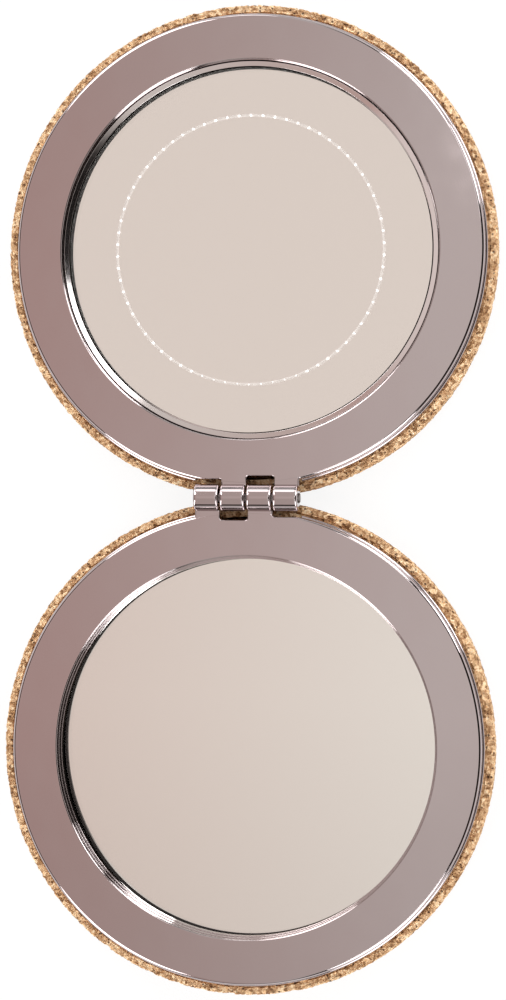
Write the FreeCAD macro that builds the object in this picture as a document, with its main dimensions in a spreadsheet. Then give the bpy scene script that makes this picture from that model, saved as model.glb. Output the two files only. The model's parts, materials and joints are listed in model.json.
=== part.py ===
import FreeCAD, Part
import os
import Sketcher

# Round folding compact mirror: two cork-capped halves with polished rings, joined by a pinned hinge.
# The halves lie open flat on their cork backs, mirrors up. X runs along the hinge pin, the lid lies
# towards +Y and the base towards -Y, +Z is up, and the origin is on the table below the hinge.

# Driving dimensions: lengths in millimetres, angles in degrees, and one count
SIZES = {
    # Polished ring around the window, with its skirt wall going down to the glass
    "window_radius": 26.9,
    "wall_draft": 0.35,
    "recess_depth": 3.1,
    "lip_wall": 0.9,
    "frame_thickness": 1.4,
    "frame_overhang": 0.9,
    "edge_round": 0.6,
    "window_round": 0.2,
    "foot_chamfer": 0.2,
    # Tray that closes the ring from behind, with a tongue in the ring's groove and a stepped rim
    "tray_floor": 0.8,
    "tray_wall": 1.0,
    "rim_step": 0.3,
    "parting_gap": 0.2,
    "groove_depth": 0.5,
    "groove_clearance": 0.05,
    "rib_wall": 0.6,
    "rib_gap": 0.9,
    # Cork cap, turned from one disc with a pocket for the tray
    "cork_floor": 1.5,
    "cork_ledge": 1.4,
    "cork_back_round": 2.0,
    "cork_rim_round": 0.4,
    "pocket_clearance": 0.1,
    "glue_thickness": 0.1,
    "glue_inset": 1.0,
    # Glass, and the foam tape below it
    "glass_thickness": 1.8,
    "glass_overlap": 0.8,
    "glass_clearance": 0.15,
    "glass_arris": 0.2,
    "tape_thickness": 0.3,
    "tape_inset": 1.5,
    # Raised seat that brings the magnifying glass of the lid up near the ring
    "lid_recess": 1.0,
    "seat_clearance": 0.1,
    "seat_rim": 0.45,
    "lid_glass_gap": 0.15,
    "lid_glass_drop": 0.2,
    "mirror_curvature": 1000.0,
    "lid_tape_gap": 0.1,
    "lid_tape_width": 4.0,
    # Closing magnets under the ring, on both sides of the edge away from the hinge
    "magnet_radius": 1.5,
    "magnet_height": 1.5,
    "magnet_side_gap": 0.3,
    "magnet_pocket_depth": 0.5,
    "magnet_clearance": 0.05,
    "magnet_angle": 20.0,
    # Hinge of four knuckles on one pin
    "open_gap": 0.2,
    "closed_gap": 0.2,
    "barrel_radius": 1.9,
    "barrel_clearance": 0.7,
    "knuckle_width": 3.5,
    "knuckle_gap": 0.25,
    "knuckle_chamfer": 0.2,
    "notch_clearance": 1.2,
    "pin_radius": 0.7,
    "pin_clearance": 0.05,
    "pin_inset": 0.2,
    "pin_proud": 0.25,
    "pin_chamfer": 0.12,
    "knurl_length": 2.6,
    "knurl_depth": 0.05,
    "knurl_ridge_width": 0.16,
    "knurl_ridges": 18,
    # Distance that each cut runs past the material
    "overrun": 1.0,
}

# Heights above the table, from the cork up
POCKET_FLOOR = "sizes.cork_floor"
TRAY_FOOT = f"({POCKET_FLOOR} + sizes.glue_thickness)"
TRAY_TOP = f"({TRAY_FOOT} + sizes.tray_floor)"
GLASS_FOOT = f"({TRAY_TOP} + sizes.tape_thickness)"
GLASS_TOP = f"({GLASS_FOOT} + sizes.glass_thickness)"
RIB_TOP = f"({GLASS_TOP} - sizes.rib_gap)"
RING_TOP = f"({GLASS_TOP} + sizes.recess_depth)"
FLANGE_FOOT = f"({RING_TOP} - sizes.frame_thickness)"
GROOVE_ROOF = f"({FLANGE_FOOT} + sizes.groove_depth)"
AXIS_HEIGHT = f"({RING_TOP} + sizes.closed_gap / 2)"
CORK_RIM = f"({AXIS_HEIGHT} - sizes.barrel_radius - sizes.barrel_clearance)"
RIM_TOP = f"({FLANGE_FOOT} - sizes.parting_gap)"

# Radii about the axis of a half, from the window outwards
WINDOW_FOOT = "(sizes.window_radius - sizes.wall_draft)"
GLASS_RADIUS = f"({WINDOW_FOOT} + sizes.glass_overlap)"
RIB_INNER = f"({GLASS_RADIUS} + sizes.glass_clearance)"
RIB_OUTER = f"({RIB_INNER} + sizes.rib_wall)"
LIP_OUTER = "(sizes.window_radius + sizes.lip_wall)"
MAGNET_CIRCLE = f"({LIP_OUTER} + sizes.magnet_side_gap + sizes.magnet_radius)"
TRAY_INNER = f"({MAGNET_CIRCLE} + sizes.magnet_radius + sizes.magnet_side_gap)"
TRAY_OUTER = f"({TRAY_INNER} + sizes.tray_wall)"
GROOVE_INNER = f"({TRAY_INNER} - sizes.groove_clearance)"
GROOVE_OUTER = f"({TRAY_OUTER} + sizes.groove_clearance)"
POCKET_RADIUS = f"({TRAY_OUTER} + sizes.pocket_clearance)"
FRAME_RADIUS = f"({TRAY_OUTER} + sizes.frame_overhang)"
RIM_RADIUS = f"({FRAME_RADIUS} + sizes.rim_step)"
CORK_RADIUS = f"({RIM_RADIUS} + sizes.cork_ledge)"

# Raised seat and bent glass of the lid: heights, radii and how far the spherical glass dips
SEAT_TOP = f"({RING_TOP} - sizes.lid_recess)"
SEAT_NECK = f"({WINDOW_FOOT} - sizes.seat_clearance)"
SEAT_BORE = f"({SEAT_NECK} - sizes.seat_rim)"
LID_GLASS_RADIUS = f"({SEAT_BORE} - sizes.lid_glass_gap)"
LID_GLASS_EDGE = f"({SEAT_TOP} - sizes.lid_glass_drop)"
BACK_CURVATURE = "(sizes.mirror_curvature + sizes.glass_thickness)"
SPHERE_CENTRE = f"({LID_GLASS_EDGE} + sqrt(sizes.mirror_curvature ^ 2 - {LID_GLASS_RADIUS} ^ 2))"
LID_GLASS_LOW = f"({SPHERE_CENTRE} - {BACK_CURVATURE})"
SEAT_FLOOR = f"({LID_GLASS_LOW} - sizes.lid_tape_gap)"
LID_TAPE_OUTER = f"({LID_GLASS_RADIUS} - sizes.tape_inset)"
LID_TAPE_INNER = f"({LID_TAPE_OUTER} - sizes.lid_tape_width)"

# Hinge: distance from the axis of a half to the pin, and the knuckles along the pin
HALF_SPACING = f"({CORK_RADIUS} + sizes.open_gap / 2)"
KNUCKLE_COUNT = 4
KNUCKLE_PITCH = "(sizes.knuckle_width + sizes.knuckle_gap)"
BARREL_LENGTH = f"({KNUCKLE_COUNT} * {KNUCKLE_PITCH} - sizes.knuckle_gap)"
BARREL_SIDE = f"({HALF_SPACING} - sizes.barrel_radius)"
NOTCH_FLOOR = f"min({BARREL_SIDE} - sizes.notch_clearance; {FRAME_RADIUS} - sizes.edge_round)"
OWN_KNUCKLES = (0, 2)
OPPOSITE_KNUCKLES = (1, 3)

FULL_TURN = 360
HALF_TURN = 180
SAME_PLACE = 1e-5

# Numbers by which a sketch knows its axes and the points of a line or an arc
H_AXIS_INDEX = -1
V_AXIS_INDEX = -2
START_INDEX = 1
END_INDEX = 2
CENTRE_INDEX = 3


def fill_sheet(doc):
    """Keeps every driving dimension in the document's sheet, one named cell each."""
    sheet = doc.addObject("Spreadsheet::Sheet", "sizes")
    for row, (alias, size) in enumerate(SIZES.items(), start=1):
        sheet.set(f"A{row}", alias)
        sheet.set(f"B{row}", str(size))
        sheet.setAlias(f"B{row}", alias)
    doc.recompute()
    return sheet


def sphere_height(radius, curvature):
    """Height of a sphere about the lid glass's centre of curvature, at a radius from the axis."""
    return f"({SPHERE_CENTRE} - sqrt({curvature} ^ 2 - {radius} ^ 2))"


def knuckle_start(index):
    """Where knuckle number index begins along the pin."""
    return f"({index} * {KNUCKLE_PITCH} - {BARREL_LENGTH} / 2)"


class Half:
    """One half of the case; its hinge side faces +Y before the half is turned into place."""

    def __init__(self, doc, name, side):
        self.doc = doc
        self.name = name
        self.side = side
        self.turn = HALF_TURN if side > 0 else 0

    def place(self, piece, height="0"):
        """Puts a piece on the axis of this half."""
        piece.Placement = FreeCAD.Placement(
            FreeCAD.Vector(), FreeCAD.Rotation(FreeCAD.Vector(0, 0, 1), self.turn)
        )
        piece.setExpression("Placement.Base.y", f"{self.side} * {HALF_SPACING}")
        piece.setExpression("Placement.Base.z", height)
        return piece

    def body(self, name):
        """A new body of this half."""
        return self.place(new_body(self.doc, f"{self.name}_{name}"))

    def disc(self, name, radius, thickness, height):
        """A plain round layer of this half."""
        piece = self.doc.addObject("Part::Cylinder", f"{self.name}_{name}")
        piece.Label = f"{self.name}_{name}"
        piece.setExpression("Radius", radius)
        piece.setExpression("Height", thickness)
        return self.place(piece, height)


def new_body(doc, name):
    """A named body for one piece."""
    body = doc.addObject("PartDesign::Body", name)
    body.Label = name
    return body


def new_sketch(body, name, plane, across="0", up="0", out="0"):
    """A sketch on one of the body's own origin planes, moved by an offset in that plane's directions."""
    sketch = body.newObject("Sketcher::SketchObject", f"{body.Label}_{name}")
    support = next(item for item in body.Origin.OriginFeatures if item.Role == plane)
    sketch.AttachmentSupport = [(support, "")]
    sketch.MapMode = "FlatFace"
    for direction, offset in zip("xyz", (across, up, out)):
        sketch.setExpression(f"AttachmentOffset.Base.{direction}", offset)
    return sketch


def bind(sketch, constraint, expression):
    """Adds a dimension to a sketch and ties it to the sheet."""
    index = sketch.addConstraint(constraint)
    sketch.setExpression(f"Constraints[{index}]", expression)


def pin_point(sketch, side, end, across, up):
    """Fixes a point of a sketch at its two coordinates."""
    for kind, axis, expression in (("DistanceX", V_AXIS_INDEX, across), ("DistanceY", H_AXIS_INDEX, up)):
        if expression == "0":
            sketch.addConstraint(Sketcher.Constraint("PointOnObject", side, end, axis))
        else:
            size = sketch.evalExpression(expression)
            bind(sketch, Sketcher.Constraint(kind, H_AXIS_INDEX, START_INDEX, side, end, size), expression)


def draw_loop(sketch, corners):
    """Draws a closed loop of straight sides through corners, each (across, up)."""
    places = [FreeCAD.Vector(sketch.evalExpression(a), sketch.evalExpression(u), 0) for a, u in corners]
    sides = []
    for start, end in zip(places, places[1:] + places[:1]):
        sides.append(sketch.addGeometry(Part.LineSegment(start, end), False))
    for side, following in zip(sides, sides[1:] + sides[:1]):
        sketch.addConstraint(Sketcher.Constraint("Coincident", side, END_INDEX, following, START_INDEX))
    for side, (across, up) in zip(sides, corners):
        pin_point(sketch, side, START_INDEX, across, up)


def draw_bowed_band(sketch, inner, outer, top_curvature, foot):
    """Draws a band between two radii whose upper side is an arc of the lid glass's sphere."""
    corners = [(inner, foot), (outer, foot)]
    tops = [(outer, sphere_height(outer, top_curvature)), (inner, sphere_height(inner, top_curvature))]
    places = [
        FreeCAD.Vector(sketch.evalExpression(a), sketch.evalExpression(u), 0) for a, u in corners + tops
    ]
    centre = FreeCAD.Vector(0, sketch.evalExpression(SPHERE_CENTRE), 0)
    circle = Part.Circle(centre, FreeCAD.Vector(0, 0, 1), sketch.evalExpression(top_curvature))
    floor = sketch.addGeometry(Part.LineSegment(places[0], places[1]), False)
    rim = sketch.addGeometry(Part.LineSegment(places[1], places[2]), False)
    bow = sketch.addGeometry(
        Part.ArcOfCircle(circle, circle.parameter(places[3]), circle.parameter(places[2])), False
    )
    hub = sketch.addGeometry(Part.LineSegment(places[3], places[0]), False)
    for first, first_end, second, second_end in (
        (floor, END_INDEX, rim, START_INDEX), (rim, END_INDEX, bow, END_INDEX),
        (bow, START_INDEX, hub, START_INDEX), (hub, END_INDEX, floor, START_INDEX),
    ):
        sketch.addConstraint(Sketcher.Constraint("Coincident", first, first_end, second, second_end))
    ends = ((floor, START_INDEX), (rim, START_INDEX), (rim, END_INDEX), (hub, START_INDEX))
    for (side, end), (across, up) in zip(ends, corners + tops):
        pin_point(sketch, side, end, across, up)
    bind(sketch, Sketcher.Constraint("Radius", bow, circle.Radius), top_curvature)


def draw_circle(sketch, across, up, radius):
    """Draws a round hole or boss at a place in a sketch."""
    centre = FreeCAD.Vector(sketch.evalExpression(across), sketch.evalExpression(up), 0)
    size = sketch.evalExpression(radius)
    circle = sketch.addGeometry(Part.Circle(centre, FreeCAD.Vector(0, 0, 1), size), False)
    pin_point(sketch, circle, CENTRE_INDEX, across, up)
    bind(sketch, Sketcher.Constraint("Radius", circle, size), radius)


def spin(body, sketch, axis="V_Axis"):
    """Turns a half profile once round an axis of its own sketch."""
    turned = body.newObject("PartDesign::Revolution", f"{sketch.Name}_turned")
    turned.Profile = sketch
    turned.ReferenceAxis = (sketch, [axis])
    turned.Angle = FULL_TURN
    sketch.Visibility = False
    body.Document.recompute()
    return turned


def turn_away(body, sketch):
    """Removes a half profile turned once round the vertical axis, and makes sure that some material went."""
    before = body.Shape.Volume
    groove = body.newObject("PartDesign::Groove", f"{sketch.Name}_cut")
    groove.Profile = sketch
    groove.ReferenceAxis = (sketch, ["V_Axis"])
    groove.Angle = FULL_TURN
    body.Document.recompute()
    if not body.Shape.Volume < before:
        raise RuntimeError(f"{groove.Name} removed nothing")
    return groove


def turn_profile(body, corners):
    """Makes a round piece from its half section, each corner (radius, height)."""
    sketch = new_sketch(body, "section", "XZ_Plane")
    draw_loop(sketch, corners)
    return spin(body, sketch)


def raise_pad(body, sketch, length):
    """Adds material from a sketch along its own outward direction."""
    pad = body.newObject("PartDesign::Pad", f"{sketch.Name}_pad")
    pad.Profile = sketch
    pad.setExpression("Length", length)
    body.Document.recompute()
    return pad


def cut_away(body, sketch, length):
    """Removes material from a sketch along its own outward direction, and makes sure that some went."""
    before = body.Shape.Volume
    pocket = body.newObject("PartDesign::Pocket", f"{sketch.Name}_cut")
    pocket.Profile = sketch
    pocket.Reversed = True
    pocket.setExpression("Length", length)
    body.Document.recompute()
    if not body.Shape.Volume < before:
        raise RuntimeError(f"{pocket.Name} removed nothing")
    return pocket


def dress_edge(body, kind, size_name, radius, height, size):
    """Rounds or bevels the full circle of an edge that lies at a radius and height."""
    base = body.Tip
    radius = body.evalExpression(radius)
    height = body.evalExpression(height)
    names = []
    for number, edge in enumerate(base.Shape.Edges, start=1):
        curve = edge.Curve
        if isinstance(curve, Part.Circle) and abs(curve.Radius - radius) < SAME_PLACE:
            if abs(edge.Vertexes[0].Point.z - height) < SAME_PLACE:
                names.append(f"Edge{number}")
    if not names:
        raise RuntimeError(f"{body.Label} has no edge at radius {radius} and height {height}")
    dressed = body.newObject(f"PartDesign::{kind}", f"{body.Label}_{kind}")
    dressed.Base = (base, names)
    dressed.setExpression(size_name, size)
    body.Document.recompute()
    return dressed


def round_edge(body, radius, height, size):
    """Rounds a full circular edge."""
    return dress_edge(body, "Fillet", "Radius", radius, height, size)


def bevel_edge(body, radius, height, size):
    """Bevels a full circular edge."""
    return dress_edge(body, "Chamfer", "Size", radius, height, size)


def cork_cap(half):
    """Turned cork cap: flat back with a large round, a rim that stands out past the ring, and a pocket."""
    body = half.body("cork_cap")
    turn_profile(body, [
        ("0", "0"), (CORK_RADIUS, "0"), (CORK_RADIUS, CORK_RIM),
        (POCKET_RADIUS, CORK_RIM), (POCKET_RADIUS, POCKET_FLOOR), ("0", POCKET_FLOOR),
    ])
    round_edge(body, CORK_RADIUS, "0", "sizes.cork_back_round")
    round_edge(body, CORK_RADIUS, CORK_RIM, "sizes.cork_rim_round")
    return body


def tray(half):
    """Tray behind the ring: floor, wall with a tongue, rim on the cork and a rib that centres the glass."""
    body = half.body("tray")
    turn_profile(body, [
        ("0", TRAY_FOOT), (TRAY_OUTER, TRAY_FOOT), (TRAY_OUTER, CORK_RIM), (RIM_RADIUS, CORK_RIM),
        (RIM_RADIUS, RIM_TOP), (TRAY_OUTER, RIM_TOP), (TRAY_OUTER, GROOVE_ROOF), (TRAY_INNER, GROOVE_ROOF),
        (TRAY_INNER, TRAY_TOP), (RIB_OUTER, TRAY_TOP), (RIB_OUTER, RIB_TOP), (RIB_INNER, RIB_TOP),
        (RIB_INNER, TRAY_TOP), ("0", TRAY_TOP),
    ])
    relief = new_sketch(body, "hinge_relief", "XY_Plane", out=CORK_RIM)
    far_side = f"({RIM_RADIUS} + sizes.overrun)"
    half_width = f"({BARREL_LENGTH} / 2 + sizes.knuckle_gap)"
    draw_loop(relief, [
        (f"-{half_width}", NOTCH_FLOOR), (half_width, NOTCH_FLOOR),
        (half_width, far_side), (f"-{half_width}", far_side),
    ])
    cut_away(body, relief, f"{GROOVE_ROOF} - {CORK_RIM} + sizes.overrun")
    return body


def magnet_place(sign):
    """Where a magnet sits in a half: beside the edge away from the hinge, on the left or the right."""
    across = f"({sign} * {MAGNET_CIRCLE} * sin(sizes.magnet_angle))"
    along = f"(-{MAGNET_CIRCLE} * cos(sizes.magnet_angle))"
    return across, along


def cut_notches(body):
    """Opens the ring where the knuckles of the other half turn."""
    far_side = f"({FRAME_RADIUS} + sizes.overrun)"
    for index in OPPOSITE_KNUCKLES:
        notch = new_sketch(body, f"notch_{index}", "XY_Plane", out=FLANGE_FOOT)
        left = f"({knuckle_start(index)} - sizes.knuckle_gap)"
        right = f"({knuckle_start(index)} + {KNUCKLE_PITCH})"
        draw_loop(notch, [
            (left, NOTCH_FLOOR), (right, NOTCH_FLOOR), (right, far_side), (left, far_side),
        ])
        cut_away(body, notch, "sizes.frame_thickness + sizes.overrun")


def add_knuckles(body):
    """Carries the ring out to the hinge in two tabs, each with a barrel at its end."""
    for index in OWN_KNUCKLES:
        left = knuckle_start(index)
        right = f"({left} + sizes.knuckle_width)"
        tab = new_sketch(body, f"tab_{index}", "XY_Plane", out=FLANGE_FOOT)
        draw_loop(tab, [
            (left, NOTCH_FLOOR), (right, NOTCH_FLOOR), (right, HALF_SPACING), (left, HALF_SPACING),
        ])
        raise_pad(body, tab, "sizes.frame_thickness")
        barrel = new_sketch(body, f"barrel_{index}", "XY_Plane", up=HALF_SPACING, out=AXIS_HEIGHT)
        draw_loop(barrel, rod_section(left, right, "sizes.barrel_radius", "sizes.knuckle_chamfer"))
        spin(body, barrel, "H_Axis")


def rod_section(left, right, radius, chamfer):
    """Half section of a round rod along the pin, with bevelled ends."""
    return [
        (left, "0"), (right, "0"), (right, f"{radius} - {chamfer}"), (f"{right} - {chamfer}", radius),
        (f"{left} + {chamfer}", radius), (left, f"{radius} - {chamfer}"),
    ]


def frame(half, bore_radius):
    """Polished ring with its skirt wall, tongue groove, magnet pockets and two hinge knuckles."""
    body = half.body("frame")
    turn_profile(body, [
        (WINDOW_FOOT, GLASS_TOP), (LIP_OUTER, GLASS_TOP), (LIP_OUTER, FLANGE_FOOT),
        (GROOVE_INNER, FLANGE_FOOT), (GROOVE_INNER, GROOVE_ROOF), (GROOVE_OUTER, GROOVE_ROOF),
        (GROOVE_OUTER, FLANGE_FOOT), (FRAME_RADIUS, FLANGE_FOOT), (FRAME_RADIUS, RING_TOP),
        ("sizes.window_radius", RING_TOP),
    ])
    round_edge(body, FRAME_RADIUS, RING_TOP, "sizes.edge_round")
    round_edge(body, "sizes.window_radius", RING_TOP, "sizes.window_round")
    bevel_edge(body, FRAME_RADIUS, FLANGE_FOOT, "sizes.foot_chamfer")
    cut_notches(body)
    add_knuckles(body)
    bore = new_sketch(body, "pin_bore", "YZ_Plane", out=f"-({BARREL_LENGTH} / 2 + sizes.overrun)")
    draw_circle(bore, HALF_SPACING, AXIS_HEIGHT, bore_radius)
    cut_away(body, bore, f"{BARREL_LENGTH} + 2 * sizes.overrun")
    for sign, name in ((-1, "left"), (1, "right")):
        pocket = new_sketch(body, f"magnet_pocket_{name}", "XY_Plane", out=FLANGE_FOOT)
        across, along = magnet_place(sign)
        draw_circle(pocket, across, along, "sizes.magnet_radius + sizes.magnet_clearance")
        cut_away(body, pocket, "sizes.magnet_pocket_depth")
    return body


def magnets(half):
    """Two small disc magnets, set into the underside of the ring."""
    pieces = []
    for sign, name in ((-1, "left"), (1, "right")):
        height = f"{FLANGE_FOOT} + sizes.magnet_pocket_depth - sizes.magnet_height"
        magnet = half.disc(f"magnet_{name}", "sizes.magnet_radius", "sizes.magnet_height", height)
        across, along = magnet_place(-half.side * sign)
        magnet.setExpression("Placement.Base.x", f"-{half.side} * {across}")
        magnet.setExpression("Placement.Base.y", f"{half.side} * ({HALF_SPACING} - {along})")
        pieces.append(magnet)
    return pieces


def base_mirror(half):
    """Flat mirror glass with ground edges, held down by the skirt wall of the ring."""
    body = half.body("mirror")
    turn_profile(body, [
        ("0", GLASS_FOOT), (GLASS_RADIUS, GLASS_FOOT), (GLASS_RADIUS, GLASS_TOP), ("0", GLASS_TOP),
    ])
    bevel_edge(body, GLASS_RADIUS, GLASS_TOP, "sizes.glass_arris")
    bevel_edge(body, GLASS_RADIUS, GLASS_FOOT, "sizes.glass_arris")
    return body


def mirror_seat(half):
    """Raised seat: a flange trapped below the skirt wall, and a neck whose rim frames the bent glass."""
    body = half.body("mirror_seat")
    turn_profile(body, [
        ("0", TRAY_TOP), (GLASS_RADIUS, TRAY_TOP), (GLASS_RADIUS, GLASS_TOP), (SEAT_NECK, GLASS_TOP),
        (SEAT_NECK, SEAT_TOP), (SEAT_BORE, SEAT_TOP), (SEAT_BORE, SEAT_FLOOR), ("0", SEAT_FLOOR),
    ])
    return body


def lid_mirror_tape(half):
    """Foam ring whose top follows the back of the bent glass."""
    body = half.body("mirror_tape")
    section = new_sketch(body, "section", "XZ_Plane")
    draw_bowed_band(section, LID_TAPE_INNER, LID_TAPE_OUTER, BACK_CURVATURE, SEAT_FLOOR)
    spin(body, section)
    return body


def lid_mirror(half):
    """Bent magnifying glass: a disc whose two faces are parts of spheres about one centre."""
    body = half.body("mirror")
    section = new_sketch(body, "section", "XZ_Plane")
    draw_bowed_band(section, "0", LID_GLASS_RADIUS, "sizes.mirror_curvature", LID_GLASS_LOW)
    spin(body, section)
    back = new_sketch(body, "back", "XZ_Plane")
    draw_bowed_band(back, "0", f"({LID_GLASS_RADIUS} + sizes.overrun)", BACK_CURVATURE, SEAT_FLOOR)
    turn_away(body, back)
    return body


def hinge_pin(doc):
    """Steel pin with a straight-knurled end, pressed into the end knuckle of the lid."""
    body = new_body(doc, "hinge_pin")
    body.setExpression("Placement.Base.z", AXIS_HEIGHT)
    left = f"(sizes.pin_inset - {BARREL_LENGTH} / 2)"
    right = f"({BARREL_LENGTH} / 2 + sizes.pin_proud)"
    rod = new_sketch(body, "rod", "XY_Plane")
    draw_loop(rod, rod_section(left, right, "sizes.pin_radius", "sizes.pin_chamfer"))
    spin(body, rod, "H_Axis")
    start = f"({right} - sizes.pin_chamfer - sizes.knurl_length)"
    ridge = new_sketch(body, "ridge", "YZ_Plane", out=start)
    root = "(sizes.pin_radius - sizes.knurl_depth)"
    draw_loop(ridge, [
        (root, "-sizes.knurl_ridge_width / 2"), ("sizes.pin_radius + sizes.knurl_depth", "0"),
        (root, "sizes.knurl_ridge_width / 2"),
    ])
    pad = raise_pad(body, ridge, "sizes.knurl_length")
    knurl = body.newObject("PartDesign::PolarPattern", "hinge_pin_knurl")
    knurl.Originals = [pad]
    knurl.Axis = (ridge, ["N_Axis"])
    knurl.Angle = FULL_TURN
    knurl.setExpression("Occurrences", "sizes.knurl_ridges")
    body.Tip = knurl
    doc.recompute()
    return body


def shared_pieces(half, bore_radius):
    """Pieces that both halves have alike."""
    glue_radius = f"({TRAY_OUTER} - sizes.glue_inset)"
    return [
        cork_cap(half),
        half.disc("cork_glue", glue_radius, "sizes.glue_thickness", POCKET_FLOOR),
        tray(half),
        frame(half, bore_radius),
        *magnets(half),
    ]


def check(doc, pieces):
    """Stops the build if anything failed or a piece has no sound shape."""
    for item in doc.Objects:
        if "Invalid" in item.State or "Error" in item.State:
            raise RuntimeError(f"{item.Label} failed: {item.State}")
    for piece in pieces:
        if piece.Shape.isNull() or not piece.Shape.isValid():
            raise RuntimeError(f"{piece.Label} has no valid shape")


def main():
    """Builds both halves and the pin, and writes one file for each piece."""
    doc = FreeCAD.newDocument("compact_mirror")
    fill_sheet(doc)
    base = Half(doc, "base", -1)
    lid = Half(doc, "lid", 1)
    pieces = shared_pieces(base, "sizes.pin_radius + sizes.pin_clearance")
    tape_radius = f"({GLASS_RADIUS} - sizes.tape_inset)"
    pieces.append(base.disc("mirror_tape", tape_radius, "sizes.tape_thickness", TRAY_TOP))
    pieces.append(base_mirror(base))
    pieces += shared_pieces(lid, "sizes.pin_radius")
    pieces += [mirror_seat(lid), lid_mirror_tape(lid), lid_mirror(lid), hinge_pin(doc)]
    doc.recompute()
    check(doc, pieces)
    os.makedirs("parts", exist_ok=True)
    for piece in pieces:
        piece.Shape.exportStep(f"parts/{piece.Label}.step")
        box = piece.Shape.BoundBox
        print(
            f"{piece.Label}: {len(piece.Shape.Solids)} solid, {piece.Shape.Volume:.2f} mm3, "
            f"x {box.XMin:.2f} {box.XMax:.2f}, y {box.YMin:.2f} {box.YMax:.2f}, "
            f"z {box.ZMin:.2f} {box.ZMax:.2f}"
        )


main()
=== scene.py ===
"""Round compact mirror with cork caps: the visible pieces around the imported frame, and a plain studio."""
import json
import math
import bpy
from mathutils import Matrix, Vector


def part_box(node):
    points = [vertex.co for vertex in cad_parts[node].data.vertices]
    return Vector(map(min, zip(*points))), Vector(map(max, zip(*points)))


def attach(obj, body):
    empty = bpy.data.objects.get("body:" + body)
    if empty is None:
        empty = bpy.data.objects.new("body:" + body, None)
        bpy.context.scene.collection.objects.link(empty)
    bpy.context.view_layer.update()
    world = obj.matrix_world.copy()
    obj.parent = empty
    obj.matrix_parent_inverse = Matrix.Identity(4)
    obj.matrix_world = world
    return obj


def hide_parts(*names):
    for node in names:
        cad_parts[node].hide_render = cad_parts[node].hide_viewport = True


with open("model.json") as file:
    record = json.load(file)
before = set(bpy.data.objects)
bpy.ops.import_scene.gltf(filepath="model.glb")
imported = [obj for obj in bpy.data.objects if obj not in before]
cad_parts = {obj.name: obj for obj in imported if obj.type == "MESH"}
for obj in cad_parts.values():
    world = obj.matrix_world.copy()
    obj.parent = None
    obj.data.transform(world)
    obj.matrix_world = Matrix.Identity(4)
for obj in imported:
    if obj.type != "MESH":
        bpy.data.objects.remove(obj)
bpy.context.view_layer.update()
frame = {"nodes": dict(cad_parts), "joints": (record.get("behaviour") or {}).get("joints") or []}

from types import SimpleNamespace

import bpy
from bpy.props import BoolProperty, FloatProperty, FloatVectorProperty, IntProperty, PointerProperty
from mathutils import Matrix, Vector, noise

bl_info = {
    "name": "Compact Mirror",
    "version": (1, 0, 0),
    "blender": (4, 5, 0),
    "location": "View3D > Sidebar > Compact Mirror",
    "description": "Dresses a cork-capped compact mirror around its packed frame",
    "category": "Object",
}

MM = 0.001
FULL_TURN = 2 * math.pi
ALONG_X = Matrix.Rotation(math.pi / 2, 4, "Y")
SAME_PLACE = 1e-7
# The side of the hinge that each half lies on, and the knuckles by number in a half's own axes.
SIDES = {"base": -1, "lid": 1}
KNUCKLE_COUNT = 4
OWN_KNUCKLES = (0, 2)
OPPOSITE_KNUCKLES = (1, 3)
# How finely round shapes are drawn.
RING_SIDES = 512
ROUND_SIDES = 360
BARREL_SIDES = 96
DOT_SIDES = 16
LINE_SIDES_PER_DOT = 4
SIDES_PER_RIDGE = 4
GLASS_LOOPS = 48
ARC_STEPS = 8
NOTCH_EDGE_STEPS = 6
CORK_SPACING = 0.25 * MM
CORK_BACK_SPACING = 1.0 * MM
BARREL_SPACING = 0.25 * MM
# Edges sharper than the limit stay sharp, and large faces lead the shading of the rest.
SMOOTH_LIMIT = math.radians(32)
FACE_WEIGHT = 100
SAME_AREA = 1e-9
# Where the rim of the lid's seat has two more loops, as shares of its width.
RIM_SUPPORTS = (0.1, 0.9)
# Width of a seam in cork as a share of a granule, and the noise above which a granule broke out.
SEAM_SHARE = 0.25
CHIP_LIMIT = 0.87
# Shares of a metal's roughness between which its polish varies.
POLISH_SPREAD = (0.6, 1.5)
# Height of the ridges on the pin, and the bevel of its ends.
KNURL_DEPTH = 0.05 * MM
PIN_CHAMFER = 0.12 * MM
# Places of the silver and the ground edge among a glass's materials, and the least Z of a front normal.
SILVER_SLOT = 1
GROUND_SLOT = 2
FACING = 0.5
# What the room shows towards each share of X: place and colour. The first two rows are the ramp's ends.
ROOM_ACROSS = (
    (-1.0, "5A403A"), (1.0, "1C1918"),
    (-0.5, "6B4A42"), (-0.44, "F6EAE6"), (-0.34, "F6EAE6"), (-0.3, "D3B6AF"), (-0.2, "DDCBC5"),
    (-0.108, "E7DCD7"), (-0.036, "EEE8E3"), (0.02, "EEE8E3"), (0.06, "1C1918"),
)
# The same towards each share of Y, with a third value: how far this covers the colour across.
ROOM_ALONG = (
    (-1.0, "F8F6F4", 1), (1.0, "2A2624", 1),
    (-0.985, "F8F6F4", 1), (-0.975, "B4ACA8", 1), (-0.945, "B4ACA8", 1), (-0.935, "1E1B1A", 1),
    (-0.865, "1E1B1A", 1), (-0.85, "5A4A40", 0.2), (-0.25, "5A4A40", 0.2), (-0.107, "5A4A40", 0.09),
    (-0.04, "5A4A40", 0), (0.1, "5A4A40", 0), (0.29, "5A4A40", 0.11), (0.74, "5A4A40", 0.11),
    (0.79, "F8F6F4", 1), (0.95, "F8F6F4", 1), (0.965, "2A2624", 1),
)
# Pale haze on both sides, and the shares of Z between which it ends.
HAZE = "E4DCD7"
HAZE_TOP = (0.4, 0.48)
# Shares of Z between which the white horizon gives way to the room.
HORIZON = (0.06, 0.1)
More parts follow.
